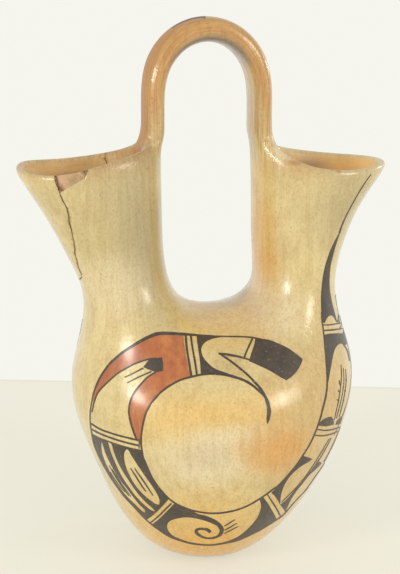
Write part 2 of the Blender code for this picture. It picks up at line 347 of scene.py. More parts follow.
def insideMaterial():
    # the inner wall: slip wiped on, less polished, with painted light and painted shade inside the spouts
    material, tree, surface = newMaterial("insideSlip", 0.5, 0.15, 0.3)
    mottle = noiseField(tree, 60, 5, 0.6)
    colour = mixColour(times(remap(mottle, 0.3, 0.75), 0.6), slip["inside"], slip["shade"])
    colour, _ = strapTint(layClouds(colour, insideClouds), mottle)
    rings = noiseField(tree, 1, 3, 0.5, (30, 30, 380))
    colour = mixColour(times(rings, 0.15), colour, slip["speck"], "MULTIPLY")
    dress(surface, colour, plus(rings, mottle), 0.5, 0.0008)
    return material


bareClay = {
    "dark": (0.61, 0.36, 0.215), "light": (0.77, 0.525, 0.345), "roughness": 0.85, "bump": (0.8, 0.0008),
    # stains on the chip, as the clouds are given, each with its own colour
    "stains": [
        ((-67, -26.2, 200.2), (7, 6, 4.2), 1.0, (0.42, 0.29, 0.14)),
        ((-62.8, -26.2, 204.2), (2.2, 6, 2.2), 1.0, (0.20, 0.11, 0.05)),
        ((-76.8, -21.5, 198.5), (1.9, 12, 9), 1.0, (0.15, 0.075, 0.03)),
        ((-74.9, -23.5, 195), (3, 12, 3), 1.0, (0.20, 0.10, 0.04)),
    ],
}


def brokenMaterial():
    # pink clay of the chip and the fracture
    material, tree, surface = newMaterial("brokenClay", bareClay["roughness"])
    grain = noiseField(tree, 420, 5, 0.7)
    soil = remap(noiseField(tree, 520, 4, 0.7), 0.36, 0.56, 0.5, 1.0)
    colour = layClouds(mixColour(grain, bareClay["dark"], bareClay["light"]), bareClay["stains"], hold=soil)
    dress(surface, colour, grain, *bareClay["bump"])
    return material


def paintMaterial(name, thick, thin, roughness, coat, worn=0.0):
    # slip paint laid on with a yucca brush: streaked and a little uneven in its cover
    material, tree, surface = newMaterial(name, roughness, coat, 0.2)
    streaks = noiseField(tree, 260, 4, 0.6, (1, 1, 0.35))
    cover = times(remap(streaks, 0.3, 0.75), remap(noiseField(tree, 55, 3), 0.3, 0.7, 0.25, 1.0))
    pits = combine("MAXIMUM", specks(tree, 330, 0.20, 0.53), specks(tree, 700, 0.34, 0.55))
    colour = mixColour(times(pits, worn), mixColour(cover, thick, thin), slip["shade"])
    dress(surface, colour, streaks, 0.3, 0.0003)
    return material


# Clay: the open sheet that the jar is shaped from, the same as the solids' own, in metres

clay = {
    "wall": 0.0056, "leg": 0.0106, "arch": 0.0129,     # thickness
    # height, half width, half depth, centre along X, thickness
    "bodyRings": [
        (0.0000, 0.0155, 0.0155, -0.0006, 0.0085),
        (0.0000, 0.0215, 0.0215, -0.0006, 0.0085),
        (0.0055, 0.0334, 0.0334, -0.0010, 0.0085),
        (0.0250, 0.0494, 0.0490, 0.0003, 0.0056),
        (0.0500, 0.0614, 0.0604, 0.0031, 0.0056),
        (0.0757, 0.0712, 0.0676, 0.0027, 0.0056),
        (0.0977, 0.0737, 0.0645, 0.0032, 0.0056),
        (0.1157, 0.0680, 0.0500, 0.0034, 0.0056),
    ],
    "saddle": {"height": 0.1291, "halfWidth": 0.0130, "halfDepth": 0.0120, "centre": 0.0080},
    # height over the saddle, reach along X, half width, half depth, shift along X, lean of the inner
    # side, spread of the left spout, rise towards the handle, thickness, thickness of the inner side
    "spoutRings": [
        (0.0096, 0.0426, 0.0201, 0.0285, 0.0018, 0.0016, -0.0004, 0.0000, 0.0056, 0.0056),
        (0.0296, 0.0463, 0.0230, 0.0275, -0.0004, 0.0010, 0.0004, 0.0000, 0.0056, 0.0056),
        (0.0521, 0.0510, 0.0279, 0.0275, -0.0002, 0.0006, 0.0018, 0.0010, 0.0056, 0.0080),
        (0.0706, 0.0585, 0.0356, 0.0290, -0.0004, 0.0000, 0.0004, 0.0135, 0.0054, 0.0110),
    ],
    "riseBend": 2.5,
    "rimLifts": {
        (-1, 0): 0.0052, (-1, 1): 0.0006, (-1, 2): 0.0005, (-1, 3): 0.0045, (-1, 4): 0.0012,
        (1, 0): -0.0034, (1, 1): -0.0016, (1, 6): 0.0010,
    },
    "handleJoin": 0.0023,     # over the rims' inner edge
    "strapHalfWidth": 0.0125, "strapRoot": 0.0022, "strapLeg": 0.0180,
    "archRise": 0.0243, "gapHalfWidth": 0.0215, "rootHalfWidth": 0.0208,
    "archFullness": (1.02, 1.043), "archSteps": 6,
    "bodyColumns": 12, "spoutColumns": 8,
    "crease": 0.22,           # of the edges of the rims and the strap
    "levels": 3,              # of smoothing
}


def fullness(columns):
    return 6 / (4 + 2 * cos(2 * pi / columns))


def bodyPoint(side, spoke, height, halfWidth, halfDepth, centre):
    turn = radians(-75 + 30 * spoke)
    grow = fullness(clay["bodyColumns"])
    return Vector((side * halfWidth * grow * cos(turn) + centre, halfDepth * grow * sin(turn), height))


def spoutPoint(side, spoke, over, reach, halfWidth, halfDepth, shift, lean, spread, rise, lifts):
    turn = radians(-112.5 + 45 * spoke)
    grow = fullness(clay["spoutColumns"])
    inward = (1 - cos(turn)) / 2
    along = side * (reach + halfWidth * grow * cos(turn)) + shift + lean * inward
    height = clay["saddle"]["height"] + over + rise * inward ** clay["riseBend"] + lifts.get((side, spoke), 0)
    return Vector((along - (spread * (1 - inward) if side < 0 else 0), halfDepth * grow * sin(turn), height))


def claySheet():
    bm = bmesh.new()
    side = bm.verts.layers.int.new("side")
    spoke = bm.verts.layers.int.new("spoke")
    thick = bm.verts.layers.float.new("thick")

    def pull(edges):
        made = bmesh.ops.extrude_edge_only(bm, edges=edges)["geom"]
        verts = vertsOf(made)
        rim = [g for g in made if isinstance(g, bmesh.types.BMEdge) and g.is_boundary and set(g.verts) <= set(verts)]
        return verts, rim

    foot = bmesh.ops.create_circle(bm, cap_ends=True, segments=clay["bodyColumns"], radius=clay["bodyRings"][0][1],
                                   matrix=Matrix.Rotation(radians(15), 4, "Z"))["verts"]
    for v in foot:
        v[side] = 1 if v.co.x > 0 else -1
        v[spoke] = round((degrees(atan2(v.co.y, abs(v.co.x))) + 75) / 30)
    loop = [e for e in bm.edges if e.is_boundary]
    for number, (*ring, wall) in enumerate(clay["bodyRings"]):
        verts = foot
        if number:
            verts, loop = pull(loop)
        for v in verts:
            v.co = bodyPoint(v[side], v[spoke], *ring)
            v[thick] = wall / clay["arch"]

    # saddle: the front and back are bridged, which leaves a mouth on each side
    saddle = clay["saddle"]
    bmesh.ops.bridge_loops(bm, edges=[e for e in loop if e.verts[0][side] != e.verts[1][side]])
    across = [e for e in bm.edges if e.is_boundary and e.verts[0][side] == e.verts[1][side]
              and {v[spoke] for v in e.verts} == {0, 5}]
    cut = bmesh.ops.subdivide_edges(bm, edges=across, cuts=2, use_grid_fill=True)
    for v in set(vertsOf(cut["geom_inner"])):
        v[side] = 1 if v.co.x > saddle["centre"] else -1
        v[spoke] = 6 if v.co.y > 0 else 7
        v[thick] = clay["wall"] / clay["arch"]
        v.co = Vector((v[side] * saddle["halfWidth"] + saddle["centre"],
                       copysign(saddle["halfDepth"], v.co.y), saddle["height"]))

    inner = []
    for which in (-1, 1):
        loop = [e for e in bm.edges if e.is_boundary and all(v[side] == which for v in e.verts)]
        for ring in clay["spoutRings"]:
            *sizes, wall, innerWall = ring
            lifts = clay["rimLifts"] if ring is clay["spoutRings"][-1] else {}
            verts, loop = pull(loop)
            for v in verts:
                v.co = spoutPoint(v[side], v[spoke], *sizes, lifts)
                v[thick] = (innerWall if v[spoke] in (6, 7) else wall) / clay["arch"]
        inner += [e for e in loop if {v[spoke] for v in e.verts} == {6, 7}]

    # handle: the inner edge of one rim is drawn up as a strap, over and down to the other
    rim = clay["spoutRings"][-1]
    root = saddle["height"] + rim[0] + rim[7] + clay["handleJoin"] + clay["strapRoot"]
    spring = root + clay["strapLeg"]
    leg = clay["leg"] / clay["arch"]
    path = [(-clay["rootHalfWidth"], root, leg), (-clay["gapHalfWidth"], spring, leg)]
    for step in range(1, clay["archSteps"]):
        turn = pi * (1 - step / clay["archSteps"])
        path.append((clay["gapHalfWidth"] * clay["archFullness"][0] * cos(turn),
                     spring + clay["archRise"] * clay["archFullness"][1] * sin(turn),
                     leg + (1 - leg) * sin(turn)))
    path += [(clay["gapHalfWidth"], spring, leg), (clay["rootHalfWidth"], root, leg)]
    edge = inner[0]
    for along, height, strap in path:
        verts, made = pull([edge])
        edge = next(e for e in made if set(e.verts) == set(verts))
        for v in verts:
            v.co = Vector((along, copysign(clay["strapHalfWidth"], v.co.y), height))
            v[thick] = strap
    bmesh.ops.bridge_loops(bm, edges=[edge, inner[1]])

    bmesh.ops.recalc_face_normals(bm, faces=bm.faces)
    if min(bm.faces, key=lambda f: f.calc_center_median().z).normal.z > 0:
        bmesh.ops.reverse_faces(bm, faces=bm.faces)
    shares = [v[thick] for v in bm.verts]
    return meshFrom("claySheet", bm), shares


def bakeDown(obj):
    # the modifiers become part of the mesh
    mesh = evaluatedMesh(obj)
    obj.modifiers.clear()
    obj.data = mesh


def thickJar():
    sheet, shares = claySheet()
    obj = newObject("jar_skin", sheet)
    group = obj.vertex_groups.new(name="thick")
    for index, share in enumerate(shares):
        group.add([index], share, "REPLACE")
    wall = obj.modifiers.new("wall", "SOLIDIFY")
    wall.thickness = clay["arch"]
    wall.offset = -1
    wall.use_even_offset = True
    wall.vertex_group = group.name
    wall.material_offset = 1
    wall.edge_crease_outer = wall.edge_crease_inner = clay["crease"]
    smooth = obj.modifiers.new("smooth", "SUBSURF")
    smooth.levels = smooth.render_levels = clay["levels"]
    return obj


def uneven(obj):
    # the hand leaves the wall a little uneven: the outer face is pressed in by up to the depth
    mesh = obj.data
    inner = {v for face in mesh.polygons if face.material_index for v in face.vertices}
    for v in mesh.vertices:
        if v.index not in inner:
            press = sum(share * noise.noise(v.co * fineness) for fineness, share in hand["dents"])
            v.co -= v.normal * hand["depth"] * min(max(hand["press"] + press, 0), 1)


hand = {"depth": 0.00035, "press": 0.6, "dents": ((22, 0.5), (60, 0.25))}
jar = thickJar()
clayMaterials = (slipMaterial(), insideMaterial(), brokenMaterial())
for material in clayMaterials:
    jar.data.materials.append(material)
bakeDown(jar)
uneven(jar)
jar.data.shade_smooth()
print("jar: clay shaped,", len(jar.data.polygons), "faces")


# Surface of the whole clay, that the paint is laid on

jar.data.calc_loop_triangles()
surfaceVerts = [v.co.copy() for v in jar.data.vertices]
surfaceNormals = [v.normal.copy() for v in jar.data.vertices]
surfaceFaces = [tuple(face.vertices) for face in jar.data.loop_triangles]
surface = BVHTree.FromPolygons(surfaceVerts, surfaceFaces)


def smoothNormal(place, face):
    corners = surfaceFaces[face]
    shares = interpolate.poly_3d_calc([surfaceVerts[c] for c in corners], place)
    return sum((surfaceNormals[c] * share for c, share in zip(corners, shares)), Vector()).normalized()


def castOn(start, aim, near):
    # where a ray meets the clay, or the clay nearest to a point if it passes by
    place, _, face, _ = surface.ray_cast(start, aim)
    if place is None:
        place, _, face, _ = surface.find_nearest(near)
    return place, smoothNormal(place, face)


# Broken piece of the left spout, and the chip beside its fracture

broken = {
    "turn": -34.3,            # degrees of the plane that the fracture is drawn on
    # along the plane from the middle of the rim, and over the rim
    "line": [
        (-0.0039, 0.0300), (-0.0027, 0.0023), (-0.0006, -0.0032), (0.0003, -0.0067), (0.0023, -0.0137),
        (0.0020, -0.0217), (0.0027, -0.0297), (0.0011, -0.0377), (0.0015, -0.0440), (0.0020, -0.0492),
        (-0.0030, -0.0524), (-0.0309, -0.0528), (-0.0609, 0.0300),
    ],
    "gap": 0.0003,
    "jag": 0.00035,           # how far the line wanders
    "jagStep": 0.0012, "jagFineness": (900, 300),
    "reach": 0.3,             # of the cutters, out through the wall
    "outside": 0.08, "wall": 0.025,      # where rays onto the spout start, and about where its wall is
    # the chip's broken face is ruled between these lines, from the middle of the rim
    "chipUpper": [
        (-0.0235, -0.0170, 0.0015), (-0.0185, -0.0209, 0.0022), (-0.0146, -0.0227, 0.0027),
        (-0.0110, -0.0240, 0.0031), (-0.0074, -0.0248, 0.0036), (-0.0036, -0.0253, 0.0044),
        (-0.0023, -0.0260, 0.0060),
    ],
    "chipLower": [
        (-0.0190, -0.0205, -0.0090), (-0.0154, -0.0236, -0.0069), (-0.0142, -0.0246, -0.0047),
        (-0.0114, -0.0262, -0.0028), (-0.0080, -0.0271, -0.0005), (-0.0046, -0.0278, 0.0012),
        (-0.0026, -0.0280, 0.0055),
    ],
    "chipCut": (-0.0036, -0.0112, 0.0024),
    "chipOverRim": 0.005, "chipRunOn": 1.6,
    "chipSteps": 7, "chipRows": 26,
    "chipRough": 0.00035, "chipGrain": ((420, 1), (1100, 0.7)),
    # the dirty line along the fracture: mm wide, where on the line it starts and ends, and how its width
    # varies along it and towards its top
    "crackWidth": 0.34, "crackTop": 0.0034, "chipFoot": -0.0060, "crackFoot": -0.0480,
    "crackVaries": 0.9, "crackFineness": 700, "crackFlare": 1.6, "flareLength": 0.0015,
}


def rimMiddle():
    ring = clay["spoutRings"][-1]
    return Vector((ring[4] - ring[1], 0, clay["saddle"]["height"] + ring[0]))


def jaggedLine(offset=0.0):
    # the fracture line with its jags, moved along the plane and down by the offset
    line = [Vector(p) for p in broken["line"]]
    jagged = []
    for a, b in zip(line, line[1:]):
        count = max(1, round((b - a).length / broken["jagStep"]))
        for k in range(count):
            p = a.lerp(b, k / count)
            wander = Vector()
            for layer, fineness in enumerate(broken["jagFineness"]):
                wander += noise.noise_vector(Vector((p.x, p.y, layer)) * fineness)
            jagged.append(Vector((p.x + offset + wander.x * broken["jag"], p.y - offset + wander.y * broken["jag"])))
    return jagged + [line[-1] + Vector((offset, -offset))]


def cutterObject(name, bm):
    bmesh.ops.recalc_face_normals(bm, faces=bm.faces)
    mesh = meshFrom(name, bm)
    mesh.materials.append(clayMaterials[2])
    return newObject(name, mesh)


def fractureCutter(name, offset):
    bm = bmesh.new()
    rim = [bm.verts.new((p.x, -broken["reach"], p.y)) for p in jaggedLine(offset)]
    face = bm.faces.new(rim)
    made = bmesh.ops.extrude_face_region(bm, geom=[face])["geom"]
    bmesh.ops.translate(bm, verts=vertsOf(made), vec=(0, 2 * broken["reach"], 0))
    bmesh.ops.rotate(bm, verts=bm.verts, matrix=Matrix.Rotation(radians(broken["turn"]), 3, "Z"))
    bmesh.ops.translate(bm, verts=bm.verts, vec=rimMiddle())
    return cutterObject(name, bm)


def chipCutter(name):
    upper, lower = ([Vector(p) for p in broken[side]] for side in ("chipUpper", "chipLower"))
    spans, rows, cut = len(upper) - 1, broken["chipRows"], Vector(broken["chipCut"])
    bm = bmesh.new()
    grid = bmesh.ops.create_grid(bm, x_segments=spans * broken["chipSteps"], y_segments=rows, size=0.5)["verts"]
    for v in grid:
        along, down = (v.co.x + 0.5) * spans, (0.5 - v.co.y) * rows
        k = min(int(along), spans - 1)
        high, low = upper[k].lerp(upper[k + 1], along - k), lower[k].lerp(lower[k + 1], along - k)
        if down < 1:
            place = high + Vector((0, 0, broken["chipOverRim"] * (1 - down)))
        else:
            place = high.lerp(low, (down - 1) / (rows - 1) * broken["chipRunOn"])
        place += rimMiddle()
        rough = sum(share * noise.noise(place * fineness) for fineness, share in broken["chipGrain"])
        v.co = place + cut.normalized() * broken["chipRough"] * rough
    face = bmesh.ops.triangulate(bm, faces=bm.faces)["faces"]
    made = bmesh.ops.extrude_face_region(bm, geom=face)["geom"]
    bmesh.ops.translate(bm, verts=vertsOf(made), vec=cut)
    return cutterObject(name, bm)


def cutClay(obj, *cuts):
    for operation, other in cuts:
        cut = obj.modifiers.new("cut", "BOOLEAN")
        cut.operation = operation
        cut.solver = "EXACT"
        cut.material_mode = "TRANSFER"
        cut.object = other
    bakeDown(obj)


sherd = newObject("sherd_skin", jar.data.copy())
sherdSpace = fractureCutter("sherdSpace", -broken["gap"] / 2)
sherdBed = fractureCutter("sherdBed", broken["gap"] / 2)
chip = chipCutter("chip")
cutClay(sherd, ("INTERSECT", sherdSpace))
cutClay(jar, ("DIFFERENCE", sherdBed), ("DIFFERENCE", chip))
for obj in (sherdSpace, sherdBed, chip):
    bpy.data.objects.remove(obj)
print("jar: broken piece parted,", len(sherd.data.polygons), "faces")

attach(jar, "root")
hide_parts("base", "belly", "shoulder", "left_spout", "right_spout", "handle")
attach(sherd, "root")
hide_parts("spout_sherd")


# Paint: flat outlines, cut up finely and laid on the clay as a thin film

film = {
    "area": 0.00008,          # how proud a filled area lies
    "stroke": 0.00011,        # and a stroke over it
    "sink": 0.00010,          # how far the film goes into the clay
    "pixelStep": 2.4,         # between cuts, where outlines are in pixels of the front view
    "arcStep": 1.2,           # and where they are in mm round the body
    "crackStep": 0.9,         # and where they are in mm along the fracture
    "wobble": 0.16, "wobbleFineness": 0.21,  # share of a stroke's width that the hand varies
    "middle": 0.0035,         # of the body along X
    "girth": 0.06, "outside": 0.3,       # about its radius, and where rays onto it start
    "degree": 1.22,           # mm round the body
    "sight": 0.6,             # from the camera to about the middle of the jar
}


def smoothRun(points, step):
    # a smooth line through all the points
    run = [Vector(p) for p in points]
    ends = [2 * run[0] - run[1], *run, 2 * run[-1] - run[-2]]
    made = []
    for a, b, c, d in zip(ends, ends[1:], ends[2:], ends[3:]):
        count = max(1, round((c - b).length / step))
        for k in range(count):
            t = k / count
            bend = (2 * a - 5 * b + 4 * c - d) * t ** 2 + (3 * b - a - 3 * c + d) * t ** 3
            made.append(b + ((c - a) * t + bend) / 2)
    return made + [run[-1]]


def area(*runs, step=1.5):
    # one closed outline: smooth runs, each from the corner where the one before it ends
    outline, corner = [], runs[-1][-1]
    for points in runs:
        outline += smoothRun([corner, *points], step)[:-1]
        corner = points[-1]
    return [(p.x, p.y) for p in outline]


def stroke(points, step=1.5):
    # the outline of one stroke of the brush; a point that gives no width keeps the one before it
    widths = []
    for p in points:
        widths.append(p[2] if len(p) == 3 else widths[-1])
    run = smoothRun([(*p[:2], width) for p, width in zip(points, widths)], step)
    left, right = [], []
    for k, p in enumerate(run):
        ahead = run[min(k + 1, len(run) - 1)] - run[max(k - 1, 0)]
        hold = 1 + film["wobble"] * noise.noise(Vector((p.x, p.y, 0)) * film["wobbleFineness"])
        across = Vector((-ahead.y, ahead.x)).normalized() * p.z / 2 * hold
        left.append((p.x + across.x, p.y + across.y))
        right.append((p.x - across.x, p.y - across.y))
    return left + right[::-1]


def flatMesh(outlines):
    # closed outlines filled; one that lies inside another is a hole
    curve = bpy.data.curves.new("outline", "CURVE")
    curve.dimensions = "2D"
    curve.fill_mode = "BOTH"
    for outline in outlines:
        spline = curve.splines.new("POLY")
        spline.points.add(len(outline) - 1)
        for point, (x, y) in zip(spline.points, outline):
            point.co = (x, y, 0, 1)
        spline.use_cyclic_u = True
    obj = newObject("outline", curve)
    mesh = evaluatedMesh(obj)
    bpy.data.objects.remove(obj)
    return mesh


def layPaint(name, areas, strokes, cast, step, material):
    bm = bmesh.new()
    for outlines, height in [(a, film["area"]) for a in areas] + [([s], film["stroke"]) for s in strokes]:
        known = len(bm.verts)
        bm.from_mesh(flatMesh(outlines))
        for v in list(bm.verts)[known:]:
            v.co.z = height
    bmesh.ops.remove_doubles(bm, verts=bm.verts, dist=1e-6)
    for axis, across in ((0, (1, 0, 0)), (1, (0, 1, 0))):
        spots = [v.co[axis] for v in bm.verts]
        for k in range(ceil(min(spots) / step), ceil(max(spots) / step)):
            bmesh.ops.bisect_plane(bm, geom=bm.verts[:] + bm.edges[:] + bm.faces[:], dist=1e-5,
                                   plane_co=Vector(across) * k * step, plane_no=across)
    up = bm.verts.layers.float_vector.new("up")
    lift = bm.verts.layers.float.new("lift")
    for v in bm.verts:
        place, normal = cast(v.co.x, v.co.y)
        v[up], v[lift] = normal, v.co.z
        v.co = place - normal * film["sink"]
    made = bmesh.ops.extrude_face_region(bm, geom=bm.faces[:])["geom"]
    for v in vertsOf(made):
        v.co += v[up] * (film["sink"] + v[lift])
    bmesh.ops.recalc_face_normals(bm, faces=bm.faces)
    mesh = meshFrom(name, bm)
    mesh.shade_smooth()
    ups = [Vector(item.vector) for item in mesh.attributes["up"].data]
    turned = []
    for face in mesh.polygons:
        for v in face.vertices:
            turned.append(ups[v] if face.normal.dot(ups[v]) > 0.8 else (0, 0, 0))
    mesh.normals_split_custom_set(turned)
    mesh.materials.append(material)
    obj = newObject(name, mesh)
    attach(obj, "root")
    print("jar:", name, "laid,", len(mesh.polygons), "faces")
    return obj


def halfTurn(v, turned):
    # the back of the jar carries the front's ornament, half a turn round
    return Vector((2 * film["middle"] - v.x, -v.y, v.z)) if turned else v


def byPixel(turned):
    def cast(x, y):
        place, aim = sightLine(x, y)
        near = place + aim * film["sight"]
        start = halfTurn(place, turned)
        return castOn(start, halfTurn(place + aim, turned) - start, halfTurn(near, turned))
    return cast


def byAngle(turned):
    # angle round the body from the front towards the right, as mm of arc, and height in mm
    def cast(arc, height):
        turn = radians(arc / film["degree"])
        out = Vector((sin(turn), -cos(turn), 0))
        axis = Vector((film["middle"], 0, height / 1000))
        start = halfTurn(axis + out * film["outside"], turned)
        return castOn(start, halfTurn(axis, turned) - start, halfTurn(axis + out * film["girth"], turned))
    return cast


def byFracture(outside, front):
    # along the plane of the fracture and over the rim, in mm: onto the spout's outside or its inside
    turn = Matrix.Rotation(radians(broken["turn"]), 4, "Z")
    near = -1 if front else 1

    def cast(along, height):
        line = Vector((along / 1000, 0, height / 1000))
        far = Vector((0, near * (broken["outside"] if outside else 0), 0))
        way = Vector((0, -near if outside else near, 0))
        start = rimMiddle() + turn @ (line + far)
        return castOn(start, turn @ way, rimMiddle() + turn @ (line + Vector((0, near * broken["wall"], 0))))
    return cast


def crackLine(top, share):
    # the dirty line along the fracture, with the width that the dirt takes
    run = [p for p in jaggedLine() if broken["crackFoot"] < p.y < top and p.x > -0.01]
    made = []
    for p in run:
        varies = broken["crackVaries"] * noise.noise(Vector((p.x, p.y, 2)) * broken["crackFineness"])
        flare = broken["crackFlare"] * exp((p.y - top) / broken["flareLength"])
        made.append((p.x * 1000, p.y * 1000, broken["crackWidth"] * share * (1 + varies + flare)))
    return made


def past(points):
    # degrees round the body, then mm of height and any width, as mm of arc
    return [(p[0] * film["degree"], *p[1:]) for p in points]


# Ornament, drawn in pixels of the front view: x, y and, for a stroke, its width

brush = {
    "outer": [(302, 359.5, 1.6), (295, 354, 1.5), (288, 349), (280, 345), (270, 341), (262, 339.5), (252, 337.5),
        (240, 336.7), (225, 336.5), (210, 336, 1.6), (195, 335, 2.0), (180, 334, 3.0), (160, 333.5, 3.6),
        (150, 336.5), (140, 341.5, 3.2), (130, 347.5, 3.0), (120, 354.5, 2.6), (110, 363.5, 2.2), (105, 370, 2.0),
        (101, 376), (98, 382, 1.9), (95.5, 388, 1.7), (93.5, 394, 1.5), (91.8, 402, 1.2), (90.3, 412), (90.3, 422),
        (92, 435, 1.3), (94, 444, 1.4), (97, 452), (100, 458.5), (104, 466), (108, 473), (113, 481), (118, 488),
        (124, 496), (130, 502.5), (137, 510), (143, 516.5), (150, 523), (158, 529, 1.6), (165, 533.5, 2.2),
        (172, 537, 2.6), (180, 540, 2.2), (190, 543, 1.7), (200, 544.5, 1.6), (210, 545), (222, 543.5, 1.7),
        (238, 540), (255, 532.5, 1.5), (265, 527, 1.4), (276, 520, 1.3)],
    "spiral": [(267.3, 423.5, 1.0), (268.2, 418, 3.4), (269, 411, 4.0), (268, 404, 3.6), (265, 396.5, 3.0),
        (259, 390.8, 2.4), (252, 385), (246, 381.3, 2.5), (240, 378.8, 2.6), (232, 376.3, 2.8), (226, 375, 2.6),
        (218, 374.1, 2.2), (210, 373.9, 2.0), (201, 374.8), (191, 377), (180, 380.2, 2.1), (170, 385.5),
        (165, 389, 2.0), (160, 393), (156, 397.5), (152, 402, 1.9), (149, 407), (146, 413), (144, 420), (142.5, 427),
        (141.3, 436), (141.2, 445, 1.8), (142, 450, 1.7), (143.2, 457, 1.6), (145.7, 463), (149, 471), (153, 479),
        (158, 486.3), (163, 492.5), (168, 497.7), (174, 502.4), (180, 505.7), (190, 509.7), (200, 512), (210, 513.2),
        (220, 513), (230, 511.5), (240, 508.8), (250, 504.5), (260, 498.5), (268, 493), (276, 487)],
    "beakTop": [(218.5, 353.3, 1.2), (224, 354, 2.0), (230, 355, 2.2), (240, 357, 2.0), (250, 360, 1.6)],
    "beakFoot": [(218.5, 353.3, 1.2), (225, 357.2, 2.0), (232, 362.2, 2.1), (240, 368.5), (248, 375.3),
        (254, 381.5, 2.2), (260, 388, 2.4), (264.5, 395, 2.6)],
    "cap": [(252.5, 338.5, 1.8), (249, 346), (246.3, 352), (244.3, 357.5)],
    "partNeckA": [(185.5, 335, 2.2), (187, 350), (189, 362), (191.5, 377)],
    "partNeckB": [(190.6, 335, 1.9), (192.5, 348), (195, 362), (197, 375.5)],
    "partWingA": [(91, 423.5, 1.7), (100, 429, 1.8), (110, 432.8), (120, 435.8), (130, 438.3), (138.5, 440.3)],
    "partWingB": [(91.3, 429, 1.6), (100, 433.6, 1.7), (110, 437.5), (120, 440.8), (130, 443.5), (138.5, 445.5)],
    "partWingC": [(139.4, 439, 1.1), (139.2, 443.5), (139, 448.5)],
    "partTail": [(171.5, 503.3, 1.6), (166, 508.7), (160, 514.7), (154, 520, 1.5), (149.5, 523.2, 1.4)],
    "partCurl": [(267.5, 494.6, 1.2), (272.5, 502.3, 1.5), (276.9, 509.4, 1.6), (280.9, 517.3, 1.4)],
    "wingEdge": [(156, 358.2, 1.7), (150, 359), (145, 360.2), (140, 361.8), (135, 363.7), (130, 366.2), (125, 369),
        (120, 371.8), (115, 375.6), (110, 380), (105, 384.7), (100, 390), (96.8, 395, 1.6), (94, 403, 1.4),
        (92, 412, 1.2)],
    "prongEdge": [(156, 371.8, 1.8), (148, 377), (142, 383, 1.9), (137, 389, 2.0), (132.5, 396), (130, 403),
        (129, 411), (129.8, 418), (131.5, 425), (134, 432.5), (136.8, 440, 1.6)],
    "wingHatchA": [(143.5, 368, 1.6), (134, 373, 1.4), (125, 377.3, 1.2)],
    "wingHatchB": [(151.5, 371.5, 1.6), (139, 377, 1.4), (127, 383, 1.2)],
    "leafA": [(109, 465, 0.5), (114, 474, 0.9), (120, 483.5), (129, 496, 0.6)],
    "leafB": [(112, 469, 0.5), (117.5, 477.5, 0.9), (123, 486), (131, 496.5, 0.6)],
    "leafC": [(110.5, 472, 0.5), (115, 479.5, 0.8), (120, 486.5), (125, 492, 0.5)],
    "leafD": [(130.5, 468, 0.8), (136, 476.5, 1.4), (142, 486), (146, 491.5, 1.0)],
    "leafE": [(134.5, 468.3, 0.8), (140, 476, 1.4), (146.5, 485.5), (153, 495.5, 1.0)],
    "curl": [(221.8, 529, 4.4), (221.3, 532.5, 4.0), (218.5, 535.8, 2.8), (213, 537.9, 1.9), (207, 538.1, 1.7),
        (201.5, 536.4, 2.2), (197.2, 533.4, 3.2), (195.9, 530.8), (198.6, 529, 2.4), (203, 528.8, 2.3),
        (207.3, 529.7, 2.8), (210.6, 532.2, 3.0)],
    "curlHatchA": [(224.5, 526, 0.9), (229.5, 523, 1.2), (235, 519.5, 0.6)],
    "curlHatchB": [(224.5, 530.2, 0.9), (230.5, 527, 1.3), (237, 523, 0.6)],
    "curlHatchC": [(224.5, 533.5, 0.9), (231, 530, 1.2), (238.5, 526.3, 0.6)],
}


def bit(name, first, last):
    # the points that a field shares with a stroke, from one of them to another, either way
    way = 1 if last > first else -1
    return [brush[name][k][:2] for k in range(first, last + way, way)]


